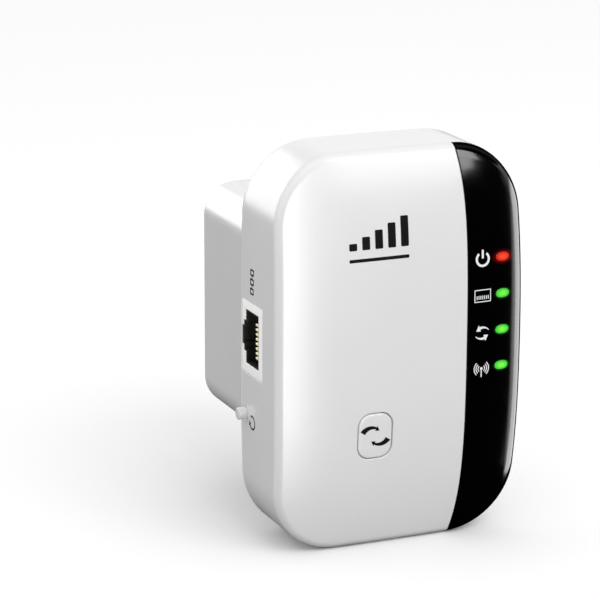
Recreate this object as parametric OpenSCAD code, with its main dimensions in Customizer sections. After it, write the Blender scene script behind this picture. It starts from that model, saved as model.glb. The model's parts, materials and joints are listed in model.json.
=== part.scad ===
// Plug-in wireless range extender: a crowned white body on a plug block, with a glossy black
// status panel, a set-up button, a LAN port and a reset button on the left side.
// Frame: the origin is the centre of the plug block's outlet face. +X is right, -Y is the
// front, +Z is up. The blades point along +Y. All sizes are in millimetres.

/* [Body] */
// Height of the body
body_h = 85; // [84:0.5:88]
// Width of the body at mid height
body_w = 56.2; // [56:0.2:59]
// Thickness from the back plane to the front's highest point
body_d = 21.4; // [21.2:0.1:23]
// Radius of the four outline corners
corner_r = 14.3; // [12:0.1:16]
// How far the left and right sides bow outwards
side_bow = 0.95; // [0:0.05:1.2]
// How far the top and bottom bow outwards
end_bow = 0.4; // [0:0.05:0.6]
// How far the front falls back at its top and bottom edges
crown_drop = 4.5; // [3:0.1:5]
// How far the front falls back at its left and right edges
cheek_drop = 1.2; // [0.5:0.1:1.4]
// Thickness of the side walls
side_wall = 1.8; // [1.5:0.1:1.9]
// Thickness of the front wall, with the panel
front_wall = 2.4; // [2.2:0.1:2.6]
// Thickness of the back plate
back_wall = 1.2; // [1:0.1:1.2]

/* [Plug block] */
// Width of the plug block
block_w = 42.8; // [42.8:0.2:46]
// Height of the plug block
block_h = 51.2; // [51.2:0.2:54]
// Depth of the plug block, from the outlet to the body
block_d = 37.9; // [37.9:0.1:40]
// Corner radius of the plug block
block_r = 7.3; // [5:0.1:8]
// Wall thickness of the plug block
block_wall = 1.8; // [1.5:0.1:2]
// Width of one flat blade
blade_w = 6.35; // [6.2:0.05:6.5]
// Thickness of one flat blade
blade_t = 1.5; // [1.4:0.05:1.6]
// Length of the blades outside the outlet face
blade_l = 16.5; // [15.9:0.1:18.2]
// Distance between the blades' centres
blade_pitch = 12.7; // [12.6:0.1:12.8]

/* [Black panel] */
// Where the panel's left edge crosses mid height
panel_x = 14.5; // [13:0.1:16]
// How far that edge bows back at the top and bottom
panel_bow = 1.85; // [0:0.05:2.5]
// Thickness of the panel
panel_t = 1.3; // [1.1:0.1:1.4]

/* [Status lights] */
// Distance of the lights from the centre line
light_x = 22.85; // [22:0.05:23.2]
// Height of the top light
light_top_z = 18.3; // [16:0.1:20]
// Distance between lights
light_pitch = 7.8; // [7:0.1:8.2]
// Width of an oval light
light_w = 3.3; // [2.8:0.1:3.6]
// Height of an oval light
light_h = 2; // [1.6:0.1:2.4]

/* [Set-up button] */
// Distance of the button from the centre line
key_x = -6.2; // [-8:0.1:-4]
// Height of the button's centre
key_z = -17.15; // [-19:0.05:-15]
// Width of the button
key_w = 7.6; // [7:0.1:9]
// Height of the button
key_h = 9.7; // [9:0.1:11]
// Corner radius of the button
key_r = 2.7; // [2:0.1:3.2]

/* [LAN port] */
// Height of the port's centre
port_z = 2.15; // [1:0.05:4]
// Size of the port's face along Z
port_h = 15.6; // [15.4:0.1:16]
// Size of the port's face along Y
port_d = 11.2; // [11:0.1:11.4]
// Width of the opening for the network plug
mouth_h = 11.7; // [11.7:0.05:12]
// Depth of the jack into the body
port_len = 14.5; // [13:0.1:15]

/* [Reset button] */
// Height of the reset button's centre
reset_z = -14.6; // [-16:0.1:-13]
// Diameter of the reset button
reset_dia = 2.6; // [2.2:0.1:2.8]
// How far the reset button stands out of the side
reset_out = 1.8; // [1:0.1:2.2]

/* [Hidden] */

eps = 0.02;              // gap between touching pieces
slip = 0.08;             // running clearance around a moving round piece
half_w = body_w / 2;
half_h = body_h / 2;
y_plate = -block_d;      // back plane of the body
y_seam = y_plate - back_wall;
y_apex = y_plate - body_d;
crown_power = 2.8;
cheek_power = 4;
arc_steps = 10;
side_steps = 6;

board_t = 1.2;
board_back = y_seam - 4.5;
board_front = board_back - board_t;
board_gap = 2.6;         // from the body's outside to the board's edge
top_strip_z = half_h - side_wall - 1.6;
side_strip_x = half_w - side_wall - 2;
boss_r = 2.5;
screw_r = 1;
boss_spots = [[-18.5, 31], [18.5, 31], [-18.5, -31], [18.5, -31]];

port_face_x = -half_w + 0.2;
port_back_y = y_seam - 0.1;
port_front_y = port_back_y - port_d;
mouth_back_y = port_back_y - 1.85;
mouth_front_y = mouth_back_y - 7;
liner_t = 0.5;
contact_pitch = 1.02;

reset_y = y_seam - 2.1;
reset_wall_x = -half_w + side_wall;
reset_tip_x = -half_w + 4.4;
reset_body_x = reset_tip_x + 1.3;

tact_h = 3.5;
tact_tip = 1.5;
key_stop_y = y_apex + front_wall + 0.9;

bay_w = block_w - 2 * block_wall;
bay_h = block_h - 2 * block_wall;
power_back = -9;
power_t = 1.6;
power_front = power_back - power_t;
label_w = 26;
label_h = 10;
label_z = -16;
label_pocket = 0.3;
insert_w = 22;
insert_h = 12;
power_posts = [[-15.2, 19.2], [15.2, 19.2], [-15.2, -19.2], [15.2, -19.2]];
sheet_y = y_plate + 2;

coil_x = 4;               // the transformer's winding axis is along Z
coil_y = power_front - 9.2;
coil_len = 9;
leg = 5;

light_zs = [for (i = [0:3]) light_top_z - i * light_pitch];

white = [0.93, 0.93, 0.93];
grey_white = [0.86, 0.86, 0.86];
gloss_black = [0.03, 0.03, 0.03];
board_green = [0.06, 0.3, 0.16];
chip_black = [0.08, 0.08, 0.09];
metal = [0.75, 0.75, 0.74];
gold = [0.83, 0.68, 0.3];
copper = [0.72, 0.45, 0.2];

// ---------- Shared shapes ----------

// Draws an X-Z sketch as a slab between two depths.
module slab(y_front, y_back) {
    translate([0, y_back, 0])
        rotate([90, 0, 0])
            linear_extrude(y_back - y_front)
                children();
}

// Draws a Y-Z sketch as a beam between two X values.
module beam(x_min, x_max) {
    translate([x_min, 0, 0])
        rotate([90, 0, 90])
            linear_extrude(x_max - x_min)
                children();
}

// Box between two opposite corners.
module block(low, high) {
    translate(low)
        cube(high - low);
}

// Round bar along Y at (x, z).
module bar_y(x, z, r, y_front, y_back) {
    translate([x, y_back, z])
        rotate([90, 0, 0])
            cylinder(r = r, h = y_back - y_front, $fn = 48);
}

// Round bar along X at (y, z).
module bar_x(y, z, r, x_min, x_max) {
    translate([x_min, y, z])
        rotate([0, 90, 0])
            cylinder(r = r, h = x_max - x_min, $fn = 48);
}

// Rectangle w by h with round corners, centred.
module round_rect(w, h, r) {
    square([w - 2 * r, h], center = true);
    square([w, h - 2 * r], center = true);
    for (sx = [-1, 1], sz = [-1, 1])
        translate([sx * (w / 2 - r), sz * (h / 2 - r)])
            circle(r = r, $fn = 48);
}

// Flat oval, round at its two ends.
module oval(w, h) {
    square([w - h, h], center = true);
    for (s = [-1, 1])
        translate([s * (w - h) / 2, 0])
            circle(d = h, $fn = 40);
}

// Round wire through a list of points, with a slightly fuller bead at each bend.
module wire(points, r) {
    for (i = [0:len(points) - 2]) {
        step = points[i + 1] - points[i];
        translate(points[i])
            rotate([0, acos(step.z / norm(step)), atan2(step.y, step.x)])
                cylinder(r = r, h = norm(step), $fn = 24);
    }
    for (i = [1:len(points) - 2])
        translate(points[i])
            sphere(r = 1.12 * r, $fn = 24);
}

// ---------- Body outline and crown ----------

function corner_x(q) = q == 0 || q == 3 ? 1 : -1;
function corner_z(q) = q < 2 ? 1 : -1;

// Point on the arc of corner q, with k from 0 to 1 along it.
function arc_point(a, b, r, q, k) =
    [corner_x(q) * (a - r) + r * cos(90 * (q + k)),
     corner_z(q) * (b - r) + r * sin(90 * (q + k))];

// One corner arc, then the straight run to the next corner.
function outline_run(a, b, r, q) =
    let (from = arc_point(a, b, r, q, 1), to = arc_point(a, b, r, (q + 1) % 4, 0))
        concat([for (k = [0:arc_steps]) arc_point(a, b, r, q, k / arc_steps)],
               [for (m = [1:side_steps - 1]) from + (to - from) * m / side_steps]);

// Body outline drawn in by inset, with all four sides bowed outwards.
function outline(inset) =
    let (a = half_w - inset, b = half_h - inset, r = corner_r - inset)
        [for (q = [0:3]) each [for (p = outline_run(a, b, r, q))
            [p.x * (1 - side_bow / a * pow(p.y / b, 2)),
             p.y * (1 - end_bow / b * pow(p.x / a, 2))]]];

function crown_y(z) = y_apex + crown_drop * pow(abs(z) / half_h, crown_power);
function cheek_y(x) = y_apex + cheek_drop * pow(abs(x) / half_w, cheek_power);
function front_y(x, z) = max(crown_y(z), cheek_y(x));

// Everything behind the front surface, moved back by drop.
module behind_front(drop) {
    top = half_h + 1;
    side = half_w + 1;
    steps = 20;
    crown = [for (i = [-steps:steps]) let (z = top * i / steps) [crown_y(z) + drop, z]];
    cheek = [for (i = [-steps:steps]) let (x = side * i / steps) [x, cheek_y(x) + drop]];
    intersection() {
        beam(-side, side)
            polygon(concat(crown, [[0, top], [0, -top]]));
        translate([0, 0, -top])
            linear_extrude(2 * top)
                polygon(concat(cheek, [[side, 0], [-side, 0]]));
    }
}

// Crowned body between the front surface and y_rear.
module body_solid(inset, drop, y_rear) {
    intersection() {
        slab(y_apex - 1, y_rear)
            polygon(outline(inset));
        behind_front(drop);
    }
}

// X-Z area to the right of the panel's bowed edge.
module panel_area(gap) {
    steps = 12;
    top = half_h + 1;
    edge = [for (i = [-steps:steps])
        [panel_x + gap - panel_bow * pow(abs(i) / steps, 6), top * i / steps]];
    polygon(concat(edge, [[half_w + 2, top], [half_w + 2, -top]]));
}

module light_holes(grow) {
    for (z = light_zs)
        translate([light_x, z])
            oval(light_w + grow, light_h + grow);
}

// ---------- Casing ----------

module front_cover() {
    color(white)
        difference() {
            union() {
                difference() {
                    body_solid(0, 0, y_seam);
                    body_solid(side_wall, front_wall, y_seam + 1);
                }
                intersection() {
                    for (p = boss_spots)
                        bar_y(p.x, p.y, boss_r, y_apex, board_front);
                    body_solid(1, 1.5, board_front);
                }
            }
            for (p = boss_spots)
                bar_y(p.x, p.y, screw_r + 0.05, board_front - 6.5, board_front + 1);
            difference() {
                slab(y_apex - 2, y_seam)
                    panel_area(0);
                behind_front(panel_t);
            }
            slab(y_apex - 1, board_front - 3)
                light_holes(0.3);
            slab(y_apex - 1, y_apex + front_wall + 4)
                translate([key_x, key_z])
                    round_rect(key_w + 0.3, key_h + 0.3, key_r + 0.15);
            block([-half_w - 1, port_front_y - 0.1, port_z - port_h / 2 - 0.1],
                  [-half_w + 4, y_seam + 1, port_z + port_h / 2 + 0.1]);
            bar_x(reset_y, reset_z, reset_dia / 2 + slip, -half_w - 1, -half_w + 4);
            snap_bars(0.12, 0.5);
        }
}

module black_panel() {
    color(gloss_black)
        difference() {
            intersection() {
                body_solid(0, 0, y_seam);
                slab(y_apex - 1, y_seam)
                    panel_area(0.06);
            }
            behind_front(panel_t - eps);
            slab(y_apex - 1, y_seam)
                light_holes(0.1);
        }
}

// Four latch ridges along the top and bottom of the lip.
module snap_bars(grow, reach) {
    for (sx = [-1, 1], sz = [-1, 1])
        translate([sx * 8, y_seam - 1.5, sz * (half_h - side_wall - 0.4)])
            cube([6 + 2 * grow, 0.7 + 2 * grow, 2 * reach], center = true);
}

module rear_housing() {
    lip_d = 2.4;
    color(white)
        difference() {
            union() {
                slab(y_seam, y_plate)
                    polygon(outline(0));
                slab(y_plate, 0)
                    round_rect(block_w, block_h, block_r);
                difference() {
                    union() {
                        slab(y_seam - lip_d, y_seam)
                            polygon(outline(side_wall + 0.05));
                        snap_bars(0, 0.35);
                    }
                    slab(y_seam - lip_d - 1, y_seam)
                        polygon(outline(side_wall + 1.05));
                    block([-half_w, y_seam - lip_d - 1, port_z - port_h / 2 - 0.3],
                          [-half_w + 5, y_seam, port_z + port_h / 2 + 0.3]);
                    block([-half_w, y_seam - lip_d - 1, reset_z - 2.4],
                          [-half_w + 5, y_seam, reset_z + 2.4]);
                }
            }
            difference() {
                slab(y_seam - 1, -block_wall)
                    round_rect(bay_w, bay_h, block_r - block_wall);
                for (p = power_posts)
                    bar_y(p.x, p.y, boss_r, power_back, -block_wall + 1);
                sheet_ribs();
            }
            for (p = power_posts)
                bar_y(p.x, p.y, screw_r + 0.05, power_back - 1, power_back + 6);
            slab(-block_wall - 1, 1)
                round_rect(insert_w + 0.1, insert_h + 0.1, 2);
            slab(-label_pocket, 1)
                translate([0, label_z])
                    round_rect(label_w + 0.3, label_h + 0.3, 1);
        }
}

// Ribs inside the block that the insulation sheet rests on.
module sheet_ribs() {
    rib = 1;
    for (s = [-1, 1]) {
        translate([s * (bay_w - rib) / 2, sheet_y / 2 - 6, 0])
            cube([rib, -sheet_y - 12, 2], center = true);
        translate([0, sheet_y / 2 - 6, s * (bay_h - rib) / 2])
            cube([2, -sheet_y - 12, rib], center = true);
    }
}

module rating_label() {
    color(metal)
        slab(-label_pocket + eps, -0.1)
            translate([0, label_z])
                round_rect(label_w, label_h, 1);
}

module blade_insert() {
    flange = 1.5;
    color(grey_white)
        difference() {
            union() {
                slab(-block_wall - eps, 0)
                    round_rect(insert_w, insert_h, 2);
                slab(-block_wall - eps - 1.4, -block_wall - eps)
                    round_rect(insert_w + 2 * flange, insert_h + 2 * flange, 2);
            }
            for (s = [-1, 1])
                translate([s * blade_pitch / 2, 0, 0])
                    cube([blade_t + 0.02, 10, blade_w + 0.02], center = true);
        }
}

// Two flat blades with chamfered tips, a cross hole and a solder tab inside.
module plug_blades() {
    tip = 1.6;
    tab = 3.4;
    color(metal)
        for (s = [-1, 1])
            difference() {
                beam(s * blade_pitch / 2 - blade_t / 2, s * blade_pitch / 2 + blade_t / 2)
                    polygon([[-6.5, -tab / 2], [-3.6, -tab / 2], [-3.6, -blade_w / 2],
                             [blade_l - tip, -blade_w / 2], [blade_l, -blade_w / 2 + tip],
                             [blade_l, blade_w / 2 - tip], [blade_l - tip, blade_w / 2],
                             [-3.6, blade_w / 2], [-3.6, tab / 2], [-6.5, tab / 2]]);
                bar_x(blade_l - 4.2, 0, 1.5, s * blade_pitch / 2 - 2, s * blade_pitch / 2 + 2);
            }
}

// ---------- Buttons and lights ----------

// Flush cap with a stop flange behind the wall and a stem down to the switch.
module wps_button() {
    stem_end = board_front - tact_h - tact_tip - eps;
    color(white) {
        intersection() {
            slab(y_apex - 1, key_stop_y)
                translate([key_x, key_z])
                    round_rect(key_w, key_h, key_r);
            behind_front(0);
        }
        slab(key_stop_y, key_stop_y + 0.8)
            translate([key_x, key_z])
                round_rect(key_w + 2, key_h + 2, key_r);
        bar_y(key_x, key_z, 1.8, key_stop_y + 0.8, stem_end);
    }
}

module wps_switch() {
    color(chip_black)
        difference() {
            block([key_x - 3, board_front - tact_h, key_z - 3], [key_x + 3, board_front, key_z + 3]);
            bar_y(key_x, key_z, 1.75 + slip / 2, board_front - tact_h - 1, board_front - 0.5);
        }
    color(metal)
        for (sx = [-1, 1], sz = [-1, 1])
            block([key_x + sx * 3.4 - 0.4, board_front - 0.6, key_z + sz * 2.2 - 0.35],
                  [key_x + sx * 3.4 + 0.4, board_front, key_z + sz * 2.2 + 0.35]);
}

module wps_plunger() {
    color(chip_black)
        bar_y(key_x, key_z, 1.75, board_front - tact_h - tact_tip, board_front - 1.2);
}

// Round cap through the left wall, with a stop flange inside.
module reset_button() {
    color(white) {
        bar_x(reset_y, reset_z, reset_dia / 2, -half_w - reset_out, reset_wall_x + 0.2);
        bar_x(reset_y, reset_z, 1.65, reset_wall_x + 0.2, reset_wall_x + 0.9);
        bar_x(reset_y, reset_z, 1, reset_wall_x + 0.9, reset_tip_x - eps);
    }
}

module reset_switch() {
    deep = 3.6;
    color(chip_black)
        difference() {
            block([reset_body_x, board_back, reset_z - 3.4],
                  [reset_body_x + deep, y_seam - 0.3, reset_z + 3.4]);
            bar_x(reset_y, reset_z, 0.9 + slip / 2, reset_body_x - 1, reset_body_x + 2);
        }
}

module reset_plunger() {
    color(chip_black)
        bar_x(reset_y, reset_z, 0.9, reset_tip_x, reset_body_x + 1.5);
}

// Clear moulding: four oval rods on a bar that stands on the main board.
module light_guide() {
    bar_top = board_front - 4.6;
    foot_z = [light_top_z + 3.2, light_top_z - 3 * light_pitch - 3.2];
    color([0.85, 0.9, 0.9, 0.6]) {
        for (z = light_zs)
            slab(front_y(light_x, z) - 0.12, board_front - 2.1)
                translate([light_x, z])
                    oval(light_w, light_h);
        block([light_x - 1, bar_top, foot_z[1] - 1], [light_x + 1, bar_top + 1.2, foot_z[0] + 1]);
        for (z = foot_z)
            bar_y(light_x, z, 0.9, bar_top, board_front);
    }
}

module led(z) {
    block([light_x - 1.6, board_front - 1.7, z - 1.3], [light_x + 1.6, board_front, z + 1.3]);
}

module power_led() {
    color([0.9, 0.15, 0.1])
        led(light_zs[0]);
}

module link_leds() {
    color([0.3, 0.85, 0.25])
        for (i = [1:3])
            led(light_zs[i]);
}

// ---------- LAN port ----------

// Stepped opening: the plug's body, then two steps for its latch.
module mouth(grow) {
    z_span = mouth_h + 2 * grow;
    translate([mouth_front_y - grow, -z_span / 2])
        square([7 + 2 * grow, z_span]);
    translate([mouth_back_y - 1, -3.4 - grow])
        square([2.1, 6.8 + 2 * grow]);
    translate([mouth_back_y - 1, -2.1 - grow])
        square([2.85, 4.2 + 2 * grow]);
}

module rj45_jack() {
    color(grey_white)
        difference() {
            block([port_face_x, port_front_y, port_z - port_h / 2],
                  [port_face_x + port_len, port_back_y, port_z + port_h / 2]);
            translate([0, 0, port_z])
                beam(port_face_x - 1, port_face_x + port_len - 1)
                    mouth(0);
        }
}

// Dark liner that carries the contacts, set back from the face.
module rj45_insert() {
    x_in = port_face_x + 0.6;
    x_end = port_face_x + port_len - 1 - eps;
    color(chip_black)
        translate([0, 0, port_z])
            difference() {
                beam(x_in, x_end)
                    mouth(-eps);
                beam(x_in - 1, x_end - 1.2)
                    mouth(-liner_t);
            }
}

// Eight sprung contacts that slope into the opening from its front side.
module rj45_contacts() {
    x_in = port_face_x + 1.4;
    x_end = port_face_x + port_len - 2.3;
    y_wall = mouth_front_y + liner_t + eps;
    color(gold)
        for (i = [0:7])
            translate([0, 0, port_z + (i - 3.5) * contact_pitch - 0.225])
                linear_extrude(0.45)
                    polygon([[x_in, y_wall], [x_in + 1.2, y_wall], [x_end, y_wall + 1.5],
                             [x_end, y_wall + 1.9], [x_end - 0.6, y_wall + 1.9],
                             [x_in, y_wall + 0.4]]);
}

// ---------- Main board ----------

module main_board() {
    color(board_green)
        difference() {
            slab(board_front, board_back)
                polygon(outline(board_gap));
            block([-half_w, board_front - 1, port_z - port_h / 2 - 0.15],
                  [port_face_x + port_len + 0.15, board_back + 1, port_z + port_h / 2 + 0.15]);
            for (p = boss_spots)
                bar_y(p.x, p.y, screw_r + 0.15, board_front - 1, board_back + 1);
        }
}

// Surface-mount chip on the board's front, with legs on its two long sides.
module chip(x, z, w, h, tall, legs) {
    color(chip_black)
        block([x - w / 2, board_front - tall, z - h / 2], [x + w / 2, board_front - 0.15, z + h / 2]);
    color(metal)
        for (s = [-1, 1], i = [0:legs - 1])
            translate([x + s * (w / 2 + 0.5), board_front - 0.3, z + (i - (legs - 1) / 2) * h / legs])
                cube([1.1, 0.6, 0.5 * h / legs], center = true);
}

module lan_transformer() chip(-7.5, 2.2, 7.2, 12.6, 5, 8);

module wifi_chip() chip(6.5, 2.5, 12, 12, 1.3, 12);

module memory_chip() chip(6.5, 18, 10.2, 12, 1.2, 9);

module flash_chip() chip(-7, 17, 4, 5, 1.6, 4);

module crystal() {
    color(metal)
        slab(board_front - 3.4, board_front)
            translate([6.5, -10])
                oval(11, 4.4);
}

module board_capacitor() {
    color([0.1, 0.12, 0.3])
        bar_y(7, -22, 3.1, board_front - 7, board_front);
}

// Printed antenna strip fixed to the inside of the top wall.
module top_antenna() {
    color(board_green)
        block([-12, board_front - 8, top_strip_z], [12, board_front - 2, top_strip_z + 0.8]);
}

// Printed antenna strip fixed to the inside of the right wall.
module side_antenna() {
    color(board_green)
        block([side_strip_x, board_front - 8.5, -29], [side_strip_x + 0.8, board_front - 2, -12]);
}

module top_antenna_cable() {
    y = board_front - 4.4;
    color(chip_black)
        wire([[-2, board_front - eps, 30], [-2, y, 30], [-2, y, top_strip_z - eps]], 0.55);
}

module side_antenna_cable() {
    y = board_front - 4.4;
    color(chip_black)
        wire([[12, board_front - eps, -16], [12, y, -16], [20, y, -21],
              [side_strip_x - eps, y, -21]], 0.55);
}

// Pan-head screw with a cross recess, head towards the given side (+1 or -1 along Y).
module pan_screw(x, z, y_seat, length, side) {
    y_top = y_seat + side * 1.3;
    y_tip = y_seat - side * length;
    difference() {
        union() {
            bar_y(x, z, 1.9, min(y_seat, y_top), max(y_seat, y_top));
            bar_y(x, z, screw_r, min(y_seat, y_tip), max(y_seat, y_tip));
        }
        for (turn = [0, 90])
            translate([x, y_top, z])
                rotate([0, turn, 0])
                    cube([2.2, 1.4, 0.5], center = true);
    }
}

module board_screws() {
    color(metal)
        for (p = boss_spots)
            pan_screw(p.x, p.y, board_back, 6, 1);
}

// ---------- Power supply ----------

module insulation_sheet() {
    color([0.9, 0.88, 0.7])
        difference() {
            slab(sheet_y - 0.3, sheet_y - eps)
                round_rect(bay_w - 0.6, bay_h - 0.6, block_r - block_wall);
            slab(sheet_y - 1, sheet_y + 1)
                translate([16.5, 12])
                    square([8, 6], center = true);
        }
}

module power_board() {
    color(board_green)
        difference() {
            slab(power_front, power_back)
                round_rect(36, 44, 2);
            for (p = power_posts)
                bar_y(p.x, p.y, screw_r + 0.15, power_front - 1, power_back + 1);
        }
}

module power_screws() {
    color(metal)
        for (p = power_posts)
            pan_screw(p.x, p.y, power_front, 6, -1);
}

// Centred box around the transformer's middle.
module coil_box(size) {
    translate([coil_x, coil_y, 0])
        cube(size, center = true);
}

module transformer_core() {
    color([0.2, 0.2, 0.21])
        difference() {
            coil_box([leg, 17, coil_len + 0.4 + leg]);
            for (s = [-1, 1])
                translate([coil_x, coil_y + s * (leg / 2 + 1.8), 0])
                    cube([leg + 1, 3.6, coil_len + 0.4], center = true);
        }
}

module transformer_bobbin() {
    color(chip_black)
        difference() {
            union() {
                coil_box([leg + 1, leg + 1, coil_len + 0.2]);
                for (s = [-1, 1])
                    translate([coil_x, coil_y, s * (coil_len / 2 - 0.3)])
                        cube([12.6, 12, 0.8], center = true);
            }
            coil_box([leg + 0.1, leg + 0.1, coil_len + 2]);
        }
    color(metal)
        for (sx = [-1, 1], sz = [-1, 1])
            bar_y(coil_x + sx * 4.6, sz * (coil_len / 2 - 0.3), 0.35, coil_y, power_front);
}

module transformer_winding() {
    color([0.9, 0.75, 0.2])
        difference() {
            coil_box([12, 11.4, coil_len - 1.5]);
            coil_box([leg + 1.1, leg + 1.1, coil_len + 2]);
        }
}

// Upright electrolytic capacitor with a grooved can.
module can(x, z, r, tall) {
    difference() {
        bar_y(x, z, r, power_front - tall, power_front);
        translate([x, power_front - 1.8, z])
            rotate([90, 0, 0])
                rotate_extrude($fn = 48)
                    translate([r + 0.2, 0])
                        circle(r = 0.5, $fn = 24);
    }
}

module input_capacitors() {
    color([0.1, 0.12, 0.3])
        for (z = [10.5, 0.5])
            can(-13.4, z, 4.1, 15);
}

module output_capacitor() {
    color([0.1, 0.25, 0.2])
        can(10.5, -14.4, 4, 13);
}

module bridge_rectifier() {
    color(chip_black)
        block([-9.2, power_front - 3.4, 13.8], [-0.8, power_front - 0.4, 20.2]);
    color(metal)
        for (sx = [-1, 1], sz = [-1, 1])
            bar_y(-5 + sx * 2.6, 17 + sz * 2.6, 0.35, power_front - 0.5, power_front);
}

// Axial part on two bent leads, along X.
module axial(x, z, r, length, y) {
    bar_x(y, z, r, x - length / 2, x + length / 2);
    for (s = [-1, 1])
        wire([[x + s * length / 2, y, z], [x + s * (length / 2 + 1.2), y, z],
              [x + s * (length / 2 + 1.2), power_front, z]], 0.35);
}

module fusible_resistor() {
    color([0.35, 0.6, 0.35])
        axial(6.4, 17.5, 1.8, 8, power_front - 2.2);
}

module output_diode() {
    color(chip_black)
        axial(-1, -19.6, 1.6, 6, power_front - 2);
}

module filter_inductor() {
    color(copper)
        bar_y(-13.2, -9.6, 3.1, power_front - 7, power_front);
    color([0.2, 0.2, 0.21])
        bar_y(-13.2, -9.6, 3.6, power_front - 8, power_front - 7);
}

module y_capacitor() {
    color([0.15, 0.35, 0.7])
        bar_x(power_front - 4.4, -13.4, 3.6, -2.6, 0.6);
    color(metal)
        for (s = [-1, 1])
            bar_y(-1, -13.4 + s * 2.4, 0.3, power_front - 3, power_front);
}

module power_controller() {
    color(chip_black)
        block([-8.9, power_front - 3.4, -5.4], [-3, power_front - 0.4, 3.6]);
    color(metal)
        for (s = [-1, 1], i = [0:3])
            bar_y(-5.95 + s * 2.6, -0.9 + (i - 1.5) * 2.2, 0.3, power_front - 0.5, power_front);
}

// Two leads from the blades' solder tabs to the back of the power board.
module ac_leads() {
    lead_x = blade_pitch / 2 + blade_t / 2 + 0.6;
    color(chip_black)
        for (s = [-1, 1])
            wire([[s * lead_x, -5.2, -1], [s * lead_x, -5.2, 12],
                  [s * lead_x, power_back + eps, 12]], 0.55);
}

// Lead from the power board to the main board, through the sheet's window.
module dc_lead(x, tint) {
    color(tint)
        wire([[x, power_front - eps, 12], [x, sheet_y - 3, 12], [x, sheet_y - 3, 13.5],
              [x, board_back + eps, 13.5]], 0.6);
}

module dc_lead_red() dc_lead(14.2, [0.75, 0.08, 0.06]);

module dc_lead_black() dc_lead(16.4, chip_black);

front_cover();
black_panel();
rear_housing();
blade_insert();
plug_blades();
rating_label();
wps_button();
reset_button();
light_guide();
main_board();
power_led();
link_leds();
wps_switch();
wps_plunger();
reset_switch();
reset_plunger();
rj45_jack();
rj45_insert();
rj45_contacts();
lan_transformer();
wifi_chip();
memory_chip();
flash_chip();
crystal();
board_capacitor();
top_antenna();
side_antenna();
top_antenna_cable();
side_antenna_cable();
board_screws();
insulation_sheet();
power_board();
power_screws();
transformer_core();
transformer_bobbin();
transformer_winding();
input_capacitors();
output_capacitor();
bridge_rectifier();
fusible_resistor();
filter_inductor();
y_capacitor();
power_controller();
output_diode();
ac_leads();
dc_lead_red();
dc_lead_black();
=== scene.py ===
# Looks of a plug-in wireless range extender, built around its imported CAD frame.
# Meshes are laid out in millimetres in the frame's axes and stored in metres.
import json
import math

import bmesh
import bpy
import numpy as np
from mathutils import Matrix, Vector
from mathutils.bvhtree import BVHTree
from mathutils.geometry import delaunay_2d_cdt


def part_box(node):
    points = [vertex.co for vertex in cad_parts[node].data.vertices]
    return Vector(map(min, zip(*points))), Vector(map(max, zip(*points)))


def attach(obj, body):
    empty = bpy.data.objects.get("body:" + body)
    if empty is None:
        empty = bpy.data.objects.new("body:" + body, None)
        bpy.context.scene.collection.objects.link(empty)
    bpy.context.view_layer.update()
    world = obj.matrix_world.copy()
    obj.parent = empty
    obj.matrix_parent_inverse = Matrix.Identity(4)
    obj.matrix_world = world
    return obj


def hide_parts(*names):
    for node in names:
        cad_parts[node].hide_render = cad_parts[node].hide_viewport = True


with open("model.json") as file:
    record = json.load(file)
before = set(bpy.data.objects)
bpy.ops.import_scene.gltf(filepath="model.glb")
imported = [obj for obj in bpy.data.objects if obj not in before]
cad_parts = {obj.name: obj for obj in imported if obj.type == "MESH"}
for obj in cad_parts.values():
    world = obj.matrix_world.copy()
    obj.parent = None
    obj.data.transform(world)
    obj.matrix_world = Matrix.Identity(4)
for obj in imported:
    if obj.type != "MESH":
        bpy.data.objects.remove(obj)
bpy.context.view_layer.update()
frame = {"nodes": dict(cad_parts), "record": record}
scene = bpy.context.scene
MM = 0.001


def mm_box(node):
    """Lowest and highest corner of a CAD node, in millimetres."""
    return [np.array(corner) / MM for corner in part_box(node)]


# ---------- Sizes ----------

COVER_LOW, COVER_HIGH = mm_box("front_cover")
HALF_W, Y_SEAM, HALF_H = COVER_HIGH
Y_APEX = COVER_LOW[1]
CORNER_R = 14.3
SIDE_BOW = 0.95
END_BOW = 0.4
CROWN_DROP = 4.5
CROWN_POWER = 2.8
CHEEK_DROP = 1.2
CHEEK_POWER = 4
RIM_R = 1.6              # fillet between the front and the sides
SIDE_WALL = 1.8
FRONT_WALL = 2.4
CHAMFER = 0.16           # broken edge around openings
PLAY = 0.15              # gap round the lights

Y_PLATE = Y_SEAM + 1.2
BLOCK_W, BLOCK_H, BLOCK_R, BLOCK_WALL = 42.8, 51.2, 7.3, 1.8
FACE_R, FOOT_R = 1.2, 0.5    # roundings of the block's outlet face and of its foot
BACK_R = 1.0             # rounding of the rear housing's edge
LIP_D = 2.4              # how far the rear housing's lip reaches into the cover
SEAM_EDGE = 0.15         # broken edge along the seam

PANEL_X = 14.5           # left edge of the black panel
PANEL_BOW = 1.85         # how far that edge leans left at its ends
PANEL_T = 1.3
PANEL_GAP = 0.06

LIGHT_X = 22.85
LIGHT_ZS = [18.3 - 7.8 * i for i in range(4)]
LIGHT_W, LIGHT_H = 3.12, 1.86

KEY_LOW, KEY_HIGH = mm_box("wps_button")
KEY_X, KEY_Z = (KEY_LOW[0] + KEY_HIGH[0]) / 2, (KEY_LOW[2] + KEY_HIGH[2]) / 2
KEY_W, KEY_H, KEY_R = 7.6, 9.7, 2.7
KEY_STOP = Y_APEX + 3.3  # front of the flange that holds the button in
KEY_GAP = 0.2

BOARD_FRONT = mm_box("main_board")[0][1]
BOSS_SPOTS = [(sx * 18.5, sz * 31) for sx in (-1, 1) for sz in (-1, 1)]
POST_SPOTS = [(sx * 15.2, sz * 19.2) for sx in (-1, 1) for sz in (-1, 1)]
BOSS_R, PILOT_R = 2.5, 1.05      # screw bosses and the holes in them
POWER_BACK = mm_box("power_board")[1][1]

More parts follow.
